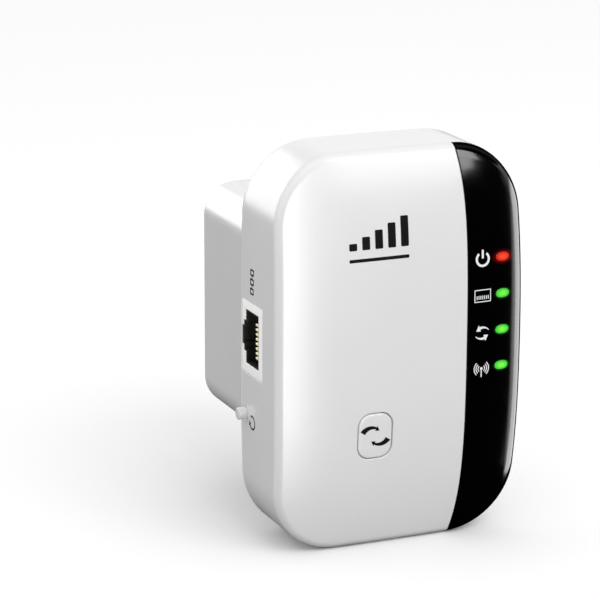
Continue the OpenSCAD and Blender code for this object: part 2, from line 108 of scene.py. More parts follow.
HOOK_XS = (-8, 8)        # snap hooks between the shells
HOOK_HALF_W = 3
HOOK_FRONT, HOOK_BACK = Y_SEAM - 1.85, Y_SEAM - 1.15

INSERT_W, INSERT_H, INSERT_R = 22.1, 12.1, 2     # opening for the blades' insert
LABEL_DEPTH = 0.3

PORT_LOW, PORT_HIGH = mm_box("rj45_jack")
PORT_GAP = 0.18
RESET_LOW, RESET_HIGH = mm_box("reset_button")
RESET_Y, RESET_Z = (RESET_LOW[1] + RESET_HIGH[1]) / 2, (RESET_LOW[2] + RESET_HIGH[2]) / 2
RESET_R = 1.3


# ---------- Meshes ----------

def make_object(name, verts, faces):
    """Mesh object from vertices in millimetres, with its faces turned outwards."""
    mesh = bpy.data.meshes.new(name)
    mesh.from_pydata((np.asarray(verts) * MM).tolist(), [], [list(f) for f in faces])
    mesh.validate()
    obj = bpy.data.objects.new(name, mesh)
    scene.collection.objects.link(obj)
    turn_outwards(mesh)
    return obj


def turn_outwards(mesh):
    """Turns every face of a closed mesh outwards."""
    work = bmesh.new()
    work.from_mesh(mesh)
    bmesh.ops.recalc_face_normals(work, faces=work.faces)
    if work.calc_volume(signed=True) < 0:
        bmesh.ops.reverse_faces(work, faces=work.faces)
    work.to_mesh(mesh)
    work.free()


def loft(rings, start=None, end=None):
    """Closed skin through rings of equal length. Each end closes on a point."""
    count = len(rings[0])
    first = np.mean(rings[0], axis=0) if start is None else start
    last = np.mean(rings[-1], axis=0) if end is None else end
    verts = np.vstack([[first], *rings, [last]])
    faces = []
    for k in range(count):
        n = (k + 1) % count
        faces.append((0, 1 + k, 1 + n))
        for r in range(len(rings) - 1):
            low, high = 1 + r * count, 1 + (r + 1) * count
            faces.append((low + k, high + k, high + n, low + n))
        tail = 1 + (len(rings) - 1) * count
        faces.append((tail + n, tail + k, len(verts) - 1))
    return verts, faces


def merge(*parts):
    """One vertex and face list from several."""
    verts, faces, base = [], [], 0
    for part_verts, part_faces in parts:
        verts.append(np.asarray(part_verts))
        faces += [tuple(i + base for i in f) for f in part_faces]
        base += len(part_verts)
    return np.vstack(verts), faces


def box_part(low, high):
    """Box between two corners."""
    x, y, z = zip(low, high)
    ring = np.array([(x[0], z[0]), (x[1], z[0]), (x[1], z[1]), (x[0], z[1])])
    return loft([flat(ring, y[0]), flat(ring, y[1])])


def rod_y(x, z, radius, y_front, y_back, sides=40):
    """Round rod along Y."""
    t = np.linspace(0, 2 * math.pi, sides, endpoint=False)
    ring = np.c_[x + radius * np.cos(t), z + radius * np.sin(t)]
    return loft([flat(ring, y_front), flat(ring, y_back)])


def lathe_x(profile, y, z, sides=56):
    """Turned shape about a line along X. The profile is (x, radius) pairs."""
    t = np.linspace(0, 2 * math.pi, sides, endpoint=False)
    rings = [np.c_[np.full(sides, x), y + r * np.cos(t), z + r * np.sin(t)] for x, r in profile]
    return loft(rings)


def cut(obj, *parts, operation="DIFFERENCE"):
    """Boolean of obj with each closed part in turn, kept as obj's mesh."""
    tools = [make_object("tool", *part) for part in parts]
    for tool in tools:
        step = obj.modifiers.new("cut", "BOOLEAN")
        step.object = tool
        step.operation = operation
        step.solver = "EXACT"
    bpy.context.view_layer.update()
    result = bpy.data.meshes.new_from_object(obj.evaluated_get(bpy.context.evaluated_depsgraph_get()))
    obj.modifiers.clear()
    obj.data = result
    for tool in tools:
        bpy.data.objects.remove(tool)
    return obj


ON_SURFACE = 3e-6        # metres; a cut face closer than this lies on the uncut surface
SAME_WAY = 0.985         # least cosine between its normal and that surface's


def smooth(obj, reference=None, angle=32):
    """Smooth shading with crisp edges. Faces that lie on the reference, which is the mesh before
    it was cut, keep its normals."""
    mesh = obj.data
    mesh.shade_smooth()
    mesh.set_sharp_from_angle(angle=math.radians(angle))
    if reference is None:
        return obj
    reference.shade_smooth()
    reference.set_sharp_from_angle(angle=math.radians(angle))
    reference.calc_loop_triangles()
    points = [v.co.copy() for v in reference.vertices]
    triangles = [tuple(t.vertices) for t in reference.loop_triangles]
    corners = [tuple(t.loops) for t in reference.loop_triangles]
    shading = [c.vector.copy() for c in reference.corner_normals]
    tree = BVHTree.FromPolygons(points, triangles)
    normals = [c.vector.copy() for c in mesh.corner_normals]
    for face in mesh.polygons:
        hit, normal, index, distance = tree.find_nearest(face.center)
        if hit is None or distance > ON_SURFACE or normal.dot(face.normal) < SAME_WAY:
            continue
        a, b, c = (points[i] for i in triangles[index])
        na, nb, nc = (shading[i] for i in corners[index])
        span, side = b - a, c - a
        area = span.cross(side)
        scale = area.length_squared
        if scale == 0:
            continue
        for loop in face.loop_indices:
            offset = mesh.vertices[mesh.loops[loop].vertex_index].co - a
            wc = span.cross(offset).dot(area) / scale
            wb = offset.cross(side).dot(area) / scale
            normals[loop] = (na * (1 - wb - wc) + nb * wb + nc * wc).normalized()
    mesh.normals_split_custom_set(normals)
    return obj


# ---------- Outlines and the front surface ----------

def outline(inset=0, half_w=HALF_W, half_h=HALF_H, radius=CORNER_R, bows=(SIDE_BOW, END_BOW),
            arc=32, side=24):
    """Rounded outline in X and Z, drawn in by inset, with bowed sides."""
    a, b, r = half_w - inset, half_h - inset, radius - inset
    signs = [(1, 1), (-1, 1), (-1, -1), (1, -1)]
    arcs = []
    for q, (sx, sz) in enumerate(signs):
        t = np.radians(90 * (q + np.linspace(0, 1, arc + 1)))
        arcs.append(np.c_[sx * (a - r) + r * np.cos(t), sz * (b - r) + r * np.sin(t)])
    share = np.linspace(0, 1, side + 1)[1:-1, None]
    runs = [arcs[q][-1] * (1 - share) + arcs[(q + 1) % 4][0] * share for q in range(4)]
    x, z = np.vstack([p for pair in zip(arcs, runs) for p in pair]).T
    return np.c_[x * (1 - bows[0] / a * (z / b) ** 2), z * (1 - bows[1] / b * (x / a) ** 2)]


def rounded(w, h, r, arc=12, side=5):
    """Rounded rectangle about the origin."""
    return outline(0, w / 2, h / 2, r, (0, 0), arc, side)


def oval(w, h, sides=48, power=2.3):
    """Oval about the origin, a little fuller than an ellipse."""
    t = np.linspace(0, 2 * math.pi, sides, endpoint=False)
    c, s = np.cos(t), np.sin(t)
    return np.c_[w / 2 * np.sign(c) * np.abs(c) ** (2 / power),
                 h / 2 * np.sign(s) * np.abs(s) ** (2 / power)]


def front_y(x, z):
    """Y of the crowned front."""
    return (Y_APEX + CHEEK_DROP * np.abs(x / HALF_W) ** CHEEK_POWER
            + CROWN_DROP * np.abs(z / HALF_H) ** CROWN_POWER)


def lift(points, depth=0.0):
    """Points on the front surface, moved back by depth."""
    x, z = np.asarray(points).T
    return np.c_[x, front_y(x, z) + depth, z]


def flat(points, y):
    """Points at one Y."""
    x, z = np.asarray(points).T
    return np.c_[x, np.full(len(x), float(y)), z]


def skin_rings(dome=34, fillet=10, stop=0.0):
    """Rings of the outer front surface, from near the middle to the side wall."""
    rim = outline(RIM_R)
    rings = [lift(rim * s) for s in np.linspace(1 / dome, 1, dome)]
    for t in np.linspace(math.pi / 2, stop, fillet + 1)[1:]:
        rings.append(lift(outline(RIM_R * (1 - math.cos(t))), RIM_R * (1 - math.sin(t))))
    return rings


def panel_edge(z):
    """X of the black panel's left edge at height z."""
    return PANEL_X - PANEL_BOW * np.abs(z / HALF_H) ** 6


def panel_zone(gap, side, floor):
    """Closed shape over the panel's area. side is the broken edge's direction, -1 or 1."""
    rings = []
    right, front, past = HALF_W + 2, Y_APEX - 3, 0.8
    for z in np.linspace(-HALF_H - 1.5, HALF_H + 1.5, 121):
        left = panel_edge(z) + gap
        xs = np.linspace(right, left, 24)
        surface = front_y(left, z)
        ring = list(zip(xs, floor(xs, np.full(24, z))))
        ring += [(left, surface + CHAMFER), (left + side * (CHAMFER + past), surface - past),
                 (left + side * (CHAMFER + past), front), (right, front)]
        rings.append([(x, y, z) for x, y in ring])
    return loft(np.array(rings))


def well(shape, x, z, gap, depth):
    """Opening that follows the front surface, with a broken edge. shape(grow) is its ring."""
    middle = np.array([x, z])
    past = 0.6
    rings = [lift(shape(gap + CHAMFER + past) + middle, -past),
             lift(shape(gap) + middle, CHAMFER),
             lift(shape(gap) + middle, depth)]
    return loft(rings)


def light_shape(grow):
    """Outline of a lit window, grown all round."""
    return oval(LIGHT_W + 2 * grow, LIGHT_H + 2 * grow)


def key_shape(grow):
    """Outline of the set-up button, grown all round."""
    return rounded(KEY_W + 2 * grow, KEY_H + 2 * grow, KEY_R + grow, arc=16, side=8)


def side_wall_x(z):
    """X of the left wall's outside at height z."""
    return -(HALF_W - SIDE_BOW * (z / HALF_H) ** 2)


# ---------- Casing ----------

def hook(x, side, play, half_h):
    """Snap hook at the top (side 1) or the bottom (side -1), or its slot when there is play."""
    z = side * (HALF_H - SIDE_WALL - 0.4)
    return box_part((x - HOOK_HALF_W - play, HOOK_FRONT - play, z - half_h),
                    (x + HOOK_HALF_W + play, HOOK_BACK + play, z + half_h))


def build_front_cover():
    """White shell with the panel's recess, its openings, the screw bosses and the hooks' slots."""
    rings = skin_rings()
    inner = outline(SIDE_WALL)
    rings += [flat(outline(), Y_SEAM - SEAM_EDGE), flat(outline(SEAM_EDGE), Y_SEAM), flat(inner, Y_SEAM)]
    rings += [lift(inner * s, FRONT_WALL) for s in np.linspace(1, 1 / 20, 20)]
    obj = make_object("front_cover_shell",
                      *loft(rings, (0, Y_APEX, 0), (0, Y_APEX + FRONT_WALL, 0)))
    reference = obj.data.copy()
    bosses = [rod_y(x, z, BOSS_R, front_y(x, z) + FRONT_WALL - 0.4, BOARD_FRONT) for x, z in BOSS_SPOTS]
    cut(obj, merge(*bosses), operation="UNION")
    tools = [panel_zone(0, -1, lambda x, z: front_y(x, z) + PANEL_T),
             well(key_shape, KEY_X, KEY_Z, KEY_GAP, 5)]
    tools += [well(light_shape, LIGHT_X, z, PLAY, 6) for z in LIGHT_ZS]
    tools += [rod_y(x, z, PILOT_R, BOARD_FRONT - 6.5, BOARD_FRONT + 1, 24) for x, z in BOSS_SPOTS]
    tools.append(box_part((-HALF_W - 1, PORT_LOW[1] - PORT_GAP, PORT_LOW[2] - PORT_GAP),
                          (-HALF_W + 4, Y_SEAM + 1, PORT_HIGH[2] + PORT_GAP)))
    side_x = side_wall_x(RESET_Z)
    hole_r, past = RESET_R + 0.08, 0.6
    tools.append(lathe_x([(side_x - past, hole_r + past + CHAMFER), (side_x + CHAMFER, hole_r),
                          (-HALF_W + 4, hole_r)], RESET_Y, RESET_Z))
    tools += [hook(x, side, 0.12, 0.5) for x in HOOK_XS for side in (-1, 1)]
    cut(obj, tools[0], merge(*tools[1:]))
    smooth(obj, reference)
    return obj


def build_black_panel():
    """Thin skin over the right of the front, with four lit windows."""
    depth = PANEL_T - 0.02
    stop = math.asin(1 - depth / RIM_R)
    rings = skin_rings(stop=stop)
    inner = outline(RIM_R * (1 - math.cos(stop)))
    rings += [lift(inner * s, depth) for s in np.linspace(0.99, 1 / 20, 20)]
    obj = make_object("black_panel_cover", *loft(rings, (0, Y_APEX, 0), (0, Y_APEX + depth, 0)))
    reference = obj.data.copy()
    cut(obj, panel_zone(PANEL_GAP, 1, lambda x, z: np.full(len(x), Y_SEAM)),
        operation="INTERSECT")
    cut(obj, merge(*[well(light_shape, LIGHT_X, z, 0.05, 4) for z in LIGHT_ZS]))
    smooth(obj, reference)
    return obj


def build_rear_housing():
    """Plug block and back plate, with the lip, the screw posts and the label's pocket."""
    def plug_ring(inset, y):
        ring = outline(inset, BLOCK_W / 2, BLOCK_H / 2, BLOCK_R, (0, 0))
        return flat(ring, y)

    rings = [plug_ring(FACE_R, 0) * np.array([s, 1, s]) for s in (0.3, 0.6, 0.85)]
    for t in np.linspace(math.pi / 2, 0, 9):
        rings.append(plug_ring(FACE_R * (1 - math.cos(t)), -FACE_R * (1 - math.sin(t))))
    for t in np.linspace(0, math.pi / 2, 6):
        rings.append(plug_ring(-FOOT_R * (1 - math.cos(t)), Y_PLATE + FOOT_R * (1 - math.sin(t))))
    rings += [flat(outline(BACK_R + 2), Y_PLATE)]
    for t in np.linspace(math.pi / 2, 0, 9):
        rings.append(flat(outline(BACK_R * (1 - math.cos(t))), Y_PLATE - BACK_R * (1 - math.sin(t))))
    rings += [flat(outline(0), Y_SEAM + SEAM_EDGE), flat(outline(SEAM_EDGE), Y_SEAM)]
    lip = SIDE_WALL + 0.05
    rings += [flat(outline(lip), Y_SEAM), flat(outline(lip), Y_SEAM - LIP_D + 0.3),
              flat(outline(lip + 0.3), Y_SEAM - LIP_D), flat(outline(lip + 1), Y_SEAM - LIP_D),
              flat(outline(lip + 1), Y_SEAM)]
    rings += [plug_ring(BLOCK_WALL, Y_SEAM), plug_ring(BLOCK_WALL, -BLOCK_WALL)]
    obj = make_object("rear_housing_shell", *loft(rings, (0, 0, 0), (0, -BLOCK_WALL, 0)))
    reference = obj.data.copy()
    added = [rod_y(x, z, BOSS_R, POWER_BACK, -BLOCK_WALL + 0.6) for x, z in POST_SPOTS]
    bay_x, bay_z = BLOCK_W / 2 - BLOCK_WALL, BLOCK_H / 2 - BLOCK_WALL
    rib_front, rib_back = Y_PLATE + 2, -12
    for side in (-1, 1):
        low, high = sorted((side * (bay_x - 1), side * (bay_x + 0.4)))
        added.append(box_part((low, rib_front, -1), (high, rib_back, 1)))
        low, high = sorted((side * (bay_z - 1), side * (bay_z + 0.4)))
        added.append(box_part((-1, rib_front, low), (1, rib_back, high)))
        added += [hook(x, side, 0, 0.35) for x in HOOK_XS]
    cut(obj, merge(*added), operation="UNION")
    label_low, label_high = mm_box("rating_label")
    label_mid = (label_low + label_high) / 2
    label_size = label_high - label_low + 0.3
    pocket = rounded(label_size[0], label_size[2], 1) + label_mid[[0, 2]]
    insert = rounded(INSERT_W, INSERT_H, INSERT_R)
    tools = [loft([flat(insert, -BLOCK_WALL - 1), flat(insert, 1)]),
             loft([flat(pocket, -LABEL_DEPTH), flat(pocket, 1)])]
    for low, high in ((PORT_LOW[2] - 0.3, PORT_HIGH[2] + 0.3), (RESET_Z - 2.4, RESET_Z + 2.4)):
        tools.append(box_part((-HALF_W, Y_SEAM - LIP_D - 1, low), (-HALF_W + 5, Y_SEAM, high)))
    tools += [rod_y(x, z, PILOT_R, POWER_BACK - 1, POWER_BACK + 6, 24) for x, z in POST_SPOTS]
    cut(obj, merge(*tools))
    smooth(obj, reference)
    return obj


# ---------- Buttons and light guide ----------

def build_key():
    """Set-up button: a cap that follows the front, a flange and a stem."""
    middle = np.array([KEY_X, KEY_Z])
    fillet, flange_t = 0.35, 0.8
    stem_w, stem_r = 3.6, 1.78
    top = key_shape(-fillet)
    rings = [lift(top * s + middle) for s in np.linspace(1 / 8, 1, 8)]
    for t in np.linspace(math.pi / 2, 0, 7)[1:]:
        rings.append(lift(key_shape(-fillet * (1 - math.cos(t))) + middle, fillet * (1 - math.sin(t))))
    flange = key_shape(1) + middle
    stem = rounded(stem_w, stem_w, stem_r, arc=16, side=8) + middle
    rings += [flat(key_shape(0) + middle, KEY_STOP), flat(flange, KEY_STOP),
              flat(flange, KEY_STOP + flange_t), flat(stem, KEY_STOP + flange_t),
              flat(stem, KEY_HIGH[1])]
    start = (KEY_X, front_y(KEY_X, KEY_Z), KEY_Z)
    return smooth(make_object("set_up_button_cap", *loft(rings, start)))


def build_reset():
    """Reset button: a round cap, a flange behind the wall and a stem."""
    wall = -HALF_W + SIDE_WALL
    tip = RESET_LOW[0]
    round_r, flange_r, stem_r = 0.35, 1.65, 1
    nose = [(tip, 0.3), (tip, RESET_R - round_r - 0.3)]
    nose += [(tip + round_r * (1 - math.sin(t)), RESET_R - round_r * (1 - math.cos(t)))
             for t in np.linspace(math.pi / 2, 0, 8)]
    body = [(wall + 0.2, RESET_R), (wall + 0.2, flange_r), (wall + 0.9, flange_r),
            (wall + 0.9, stem_r), (RESET_HIGH[0], stem_r)]
    return smooth(make_object("reset_button_cap", *lathe_x(nose + body, RESET_Y, RESET_Z)))


def build_light_guide():
    """Four rods with domed oval ends, on a bar with two feet on the board."""
    guide_low, guide_high = mm_box("light_guide")
    end = BOARD_FRONT - 2.1
    dome, foot_r = 0.22, 0.9
    rods = []
    for z in LIGHT_ZS:
        middle = np.array([LIGHT_X, z])
        rings = [lift(light_shape(0) * s + middle, -dome * (1 - s ** 2) + 0.1)
                 for s in np.linspace(1 / 7, 1, 7)]
        rings += [flat(light_shape(0) + middle, end)]
        rods.append(loft(rings))
    obj = make_object("light_guide_rods", *merge(*rods))
    bar = box_part((LIGHT_X - 1, BOARD_FRONT - 4.6, guide_low[2] + 0.1),
                   (LIGHT_X + 1, BOARD_FRONT - 3.4, guide_high[2] - 0.1))
    feet = [rod_y(LIGHT_X, z, foot_r, BOARD_FRONT - 4, BOARD_FRONT, 32)
            for z in (guide_low[2] + 1, guide_high[2] - 1)]
    cut(obj, bar, merge(*feet), operation="UNION")
    return smooth(obj)


# ---------- LAN port ----------

MOUTH_STEPS = ((0, 5.85), (1.1, 3.4), (1.85, 2.1))   # how far back each step goes, half its height
MOUTH_BACK = PORT_HIGH[1] - MOUTH_STEPS[-1][0]
MOUTH_FRONT = MOUTH_BACK - 7
PORT_MID = (PORT_LOW[2] + PORT_HIGH[2]) / 2
LINER = 0.5
CONTACT_PITCH = 1.02


def mouth_ring(grow):
    """Stepped opening in Y and Z: the plug's body, then two steps for its latch."""
    half = []
    y = MOUTH_FRONT - grow
    for back, half_h in MOUTH_STEPS:
        half.append((y, half_h + grow))
        y = MOUTH_BACK + back + grow
        half.append((y, half_h + grow))
    return np.array(half + [(y, -z) for y, z in half[::-1]]) + [0, PORT_MID]


def across(ring, x):
    """A Y-Z ring at one X."""
    return np.c_[np.full(len(ring), float(x)), ring]


def build_jack():
    """Moulding round the port, with broken edges."""
    x0, x1 = PORT_LOW[0], PORT_HIGH[0]
    y_mid, y_half = (PORT_LOW[1] + PORT_HIGH[1]) / 2, (PORT_HIGH[1] - PORT_LOW[1]) / 2
    z_half = (PORT_HIGH[2] - PORT_LOW[2]) / 2

    def outer(inset, x):
        ring = rounded(2 * (y_half - inset), 2 * (z_half - inset), 0.3 - inset * 0.5, 4, 2)
        return across(ring + [y_mid, PORT_MID], x)

    rings = [outer(0.15, x0), outer(0.04, x0 + 0.04), outer(0, x0 + 0.15), outer(0, x1 - 0.1),
             outer(0.1, x1)]
    obj = make_object("lan_jack", *loft(rings))
    cut(obj, loft([across(mouth_ring(0.1), x0 - 0.1), across(mouth_ring(0.06), x0),
                   across(mouth_ring(0), x0 + 0.06), across(mouth_ring(0), x1 - 1)]))
    return smooth(obj)


def build_jack_liner():
    """Dark sleeve inside the port."""
    x0, x1 = PORT_LOW[0] + 0.14, PORT_HIGH[0] - 1.02
    rings = [across(mouth_ring(-0.06), x0), across(mouth_ring(-0.02), x0 + 0.06),
             across(mouth_ring(-0.02), x1)]
    obj = make_object("lan_jack_liner", *loft(rings))
    cut(obj, loft([across(mouth_ring(-LINER + 0.06), x0 - 0.1), across(mouth_ring(-LINER + 0.04), x0),
                   across(mouth_ring(-LINER), x0 + 0.08), across(mouth_ring(-LINER), x1 - 1.2)]))
    return smooth(obj)


def build_contacts():
    """Eight sprung contacts with rounded backs, sloping in from the opening's front side."""
    x0, x1 = PORT_LOW[0] + 0.3, PORT_HIGH[0] - 2.3
    y_wall = MOUTH_FRONT + LINER + 0.02
    path = [(x0, y_wall), (x0 + 1.2, y_wall), (x1, y_wall + 1.5), (x1, y_wall + 1.9),
            (x1 - 0.6, y_wall + 1.9), (x0 + 0.5, y_wall + 1.7), (x0, y_wall + 1.6)]
    middle = np.mean(path, axis=0)
    parts = []
    for i in range(8):
        z = PORT_MID + (i - 3.5) * CONTACT_PITCH
        rings = []
        for dz, inset in ((-0.225, 0.06), (-0.165, 0), (0.165, 0), (0.225, 0.06)):
            ring = middle + (np.array(path) - middle) * (1 - inset * np.array([0.1, 0.6]))
            rings.append(np.c_[ring, np.full(len(ring), z + dz)])
        parts.append(loft(rings))
    return smooth(make_object("lan_contacts", *merge(*parts)), angle=50)


# ---------- Plug blades ----------

BLADE_LOW, BLADE_HIGH = mm_box("plug_blades")
BLADE_T = 1.5            # thickness of one blade
BLADE_TIP = 1.6          # chamfer at the corners of its tip
BLADE_ROOT = -3.6        # where the blade narrows to its solder tab
TAB_HALF = 1.7
BLADE_EDGE = 0.14        # rounding of its long edges
BLADE_HOLE = (BLADE_HIGH[1] - 4.2, 1.5)          # where the cross hole is, and its radius


def blade_ring(inset):
    """Outline of one blade in Y and Z, from its solder tab to its tip."""
    half, end = BLADE_HIGH[2] - inset, BLADE_HIGH[1] - inset
    side = [(BLADE_LOW[1] + inset, TAB_HALF - inset), (BLADE_ROOT + inset, TAB_HALF - inset),
            (BLADE_ROOT + inset, half), (end - BLADE_TIP, half), (end, half - BLADE_TIP)]
    return np.array([(y, -z) for y, z in side] + side[::-1])


def build_blades():
    """Two flat blades, each with a cross hole."""
    edge, mid_edge = BLADE_EDGE, BLADE_EDGE / 3.4
    y_hole, r_hole = BLADE_HOLE
    blades, drills = [], []
    for x0 in (BLADE_LOW[0], BLADE_HIGH[0] - BLADE_T):
        x1 = x0 + BLADE_T
        steps = ((edge, x0), (mid_edge, x0 + mid_edge), (0, x0 + edge),
                 (0, x1 - edge), (mid_edge, x1 - mid_edge), (edge, x1))
        blades.append(loft([across(blade_ring(inset), x) for inset, x in steps]))
        drills.append(lathe_x([(x0 - 0.5, r_hole + 0.5 + edge), (x0 + edge, r_hole),
                               (x1 - edge, r_hole), (x1 + 0.5, r_hole + 0.5 + edge)], y_hole, 0))
    obj = make_object("plug_blades_pair", *merge(*blades))
    cut(obj, *drills)
    return smooth(obj)


cover = build_front_cover()
panel = build_black_panel()
housing = build_rear_housing()
key = build_key()
reset = build_reset()
guide = build_light_guide()
jack = build_jack()
liner = build_jack_liner()
contacts = build_contacts()
blades = build_blades()

for piece, body, node, slot in (
        (cover, "root", "front_cover", "white_abs"),
        (panel, "root", "black_panel", "black_gloss"),
        (housing, "root", "rear_housing", "white_abs"),
        (key, "wps_button", "wps_button", "white_abs"),
        (reset, "reset_button", "reset_button", "white_abs"),
        (guide, "root", "light_guide", "clear_guide"),
        (jack, "root", "rj45_jack", "port_plastic"),
        (liner, "root", "rj45_insert", "dark_plastic"),
        (contacts, "root", "rj45_contacts", "gold_contacts"),
        (blades, "root", "plug_blades", "blade_metal")):
    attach(piece, body)
    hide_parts(node)


# ---------- Printed marks ----------

INK_T = 0.02             # how far the ink stands proud, and how far it sinks in
ICON_X = LIGHT_X - 4.85


def odd_inside(point, loops):
    """True where a point is inside an odd number of the loops."""
    x, z = point
    inside = False
    for loop in loops:
        for (x0, z0), (x1, z1) in zip(loop, np.roll(loop, -1, axis=0)):
            if (z0 > z) != (z1 > z) and x < x0 + (z - z0) * (x1 - x0) / (z1 - z0):
                inside = not inside
    return inside


def print_mark(name, loops, place, spacing=1.0):
    """Thin ink film over closed outlines. place(points, height) puts sketch points on a surface."""
    loops = [np.asarray(loop, float) for loop in loops]
    points, edges = [], []
    for loop in loops:
        base = len(points)
        points += loop.tolist()
        edges += [(base + i, base + (i + 1) % len(loop)) for i in range(len(loop))]
    low, high = np.min(points, axis=0), np.max(points, axis=0)
    for x in np.arange(low[0] + spacing / 2, high[0], spacing):
        for z in np.arange(low[1] + spacing / 2, high[1], spacing):
            points.append([x, z])
    result = delaunay_2d_cdt([Vector(p) for p in points], edges, [], 0, 1e-6)
    flat_points = np.array([tuple(p) for p in result[0]])
    inner = [t for t in result[2] if odd_inside(flat_points[list(t)].mean(axis=0), loops)]
    used = sorted({i for t in inner for i in t})
    order = {old: new for new, old in enumerate(used)}
    count = len(used)
    top = place(flat_points[used], INK_T)
    bottom = place(flat_points[used], -INK_T)
    faces, sides = [], {}
    for t in inner:
        a, b, c = (order[i] for i in t)
        faces += [(a, b, c), (a + count, c + count, b + count)]
        for edge in ((a, b), (b, c), (c, a)):
            if edge[::-1] in sides:
                del sides[edge[::-1]]
            else:
                sides[edge] = True
    faces += [(b, a, a + count, b + count) for a, b in sides]
    return make_object(name, np.vstack([top, bottom]), faces)


def on_front(points, height):
    """Puts X-Z points on the front."""
    return lift(points, -height)


def on_left_side(points, height):
    """Puts Y-Z points on the left wall."""
    y, z = np.asarray(points).T
    return np.c_[side_wall_x(z) - height, y, z]


def bar_loop(x, z, w, h, r=0.12):
    """Rounded rectangle about a point."""
    return rounded(w, h, min(r, w / 2 - 0.01, h / 2 - 0.01), arc=4, side=2) + np.array([x, z])


def stroke_arc(x, z, radius, start, stop, width, steps=28):
    """Arc of one width, from start to stop in degrees."""
    t = np.radians(np.linspace(start, stop, steps))
    ring = np.c_[np.cos(t), np.sin(t)]
    return np.vstack([ring * (radius + width / 2), ring[::-1] * (radius - width / 2)]) + [x, z]


def arrow_arc(x, z, radius, start, stop, tail, neck, head_w, head_l, steps=24):
    """Curved arrow from start to stop in degrees, its width going from tail to neck."""
    share = np.linspace(0, 1, steps)
    t = np.radians(start + (stop - start) * share)
    half = ((1 - share) * tail + share * neck)[:, None] / 2
    ring = np.c_[np.cos(t), np.sin(t)]
    tip_t = t[-1] + math.copysign(head_l / radius, stop - start)
    tip = radius * np.array([[math.cos(tip_t), math.sin(tip_t)]])
    head = ring[-1:] * head_w / 2
    end = ring[-1:] * radius
    return np.vstack([ring * (radius + half), end + head, tip, end - head,
                      (ring * (radius - half))[::-1]]) + [x, z]


def front_mark_loops():
    """Generic signal bars over an underline."""
    left, foot, pitch, width = -11.4, 22.7, 2.9, 1.75
    heights = (1.5, 2.7, 3.9, 5.1, 6.3)
    loops = [bar_loop(left + pitch * i, foot + h / 2, width, h, 0.25) for i, h in enumerate(heights)]
    loops.append(bar_loop(-5.6, 20.6, 13.4, 0.7, 0.2))
    return loops


def status_loops():
    """Power, network port, sync and aerial pictograms, each beside its light."""
    x = ICON_X
    loops = [stroke_arc(x, LIGHT_ZS[0] - 0.05, 1.42, 128, 412, 0.5),
             bar_loop(x, LIGHT_ZS[0] + 1.0, 0.48, 1.9, 0.2)]
    z = LIGHT_ZS[1] - 0.05
    loops += [bar_loop(x, z, 3.9, 2.7, 0.1), bar_loop(x, z, 3.52, 2.32, 0.05)]
    loops += [bar_loop(x + 0.44 * i, z - 0.36, 0.2, 0.8, 0.05) for i in range(-3, 4)]
    z = LIGHT_ZS[2] - 0.3
    arrow = arrow_arc(0.12, -0.8, 2.0, 44, 110, 0.14, 0.6, 1.45, 1.05)
    loops += [arrow + [x, z], [x, z] - arrow]
    z = LIGHT_ZS[3] - 0.35
    loops.append(stroke_arc(x, z + 0.15, 0.17, 0, 357, 0.3))
    loops.append(bar_loop(x, z - 0.95, 0.26, 1.5, 0.08))
    for radius in (0.78, 1.25, 1.72):
        loops += [stroke_arc(x, z + 0.15, radius, -48, 48, 0.21),
                  stroke_arc(x, z + 0.15, radius, 132, 228, 0.21)]
    return loops


def key_loops():
    """Two arrows that chase each other round the button."""
    arrow = arrow_arc(-0.9, -0.5, 2.42, 146, 64, 1.3, 0.45, 1.1, 0.95)
    return [arrow + [KEY_X, KEY_Z], [KEY_X, KEY_Z] - arrow]


def port_mark_loops():
    """Three linked boxes above the port."""
    y, z = PORT_LOW[1] + 5.6, PORT_HIGH[2] + 4.6
    loops = [bar_loop(y, z + dz, 1.9, 1.4, 0.15) for dz in (-2, 0, 2)]
    loops += [bar_loop(y, z + dz, 1.2, 0.7, 0.05) for dz in (-2, 0, 2)]
    loops += [bar_loop(y, z + dz, 0.32, 0.58, 0.02) for dz in (-1, 1)]
    return loops


def reset_mark_loops():
    """Round arrow beside the reset button."""
    return [arrow_arc(RESET_Y - 3.6, RESET_Z - 1.2, 1.4, 60, 330, 0.36, 0.36, 1.2, 0.9, 40)]


front_mark = print_mark("front_mark", front_mark_loops(), on_front)
status_marks = print_mark("status_marks", status_loops(), on_front)
key_mark = print_mark("button_mark", key_loops(), on_front)
port_mark = print_mark("port_mark", port_mark_loops(), on_left_side)
reset_mark = print_mark("reset_mark", reset_mark_loops(), on_left_side)
for piece in (front_mark, status_marks, port_mark, reset_mark):
    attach(piece, "root")
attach(key_mark, "wps_button")


# ---------- Materials ----------

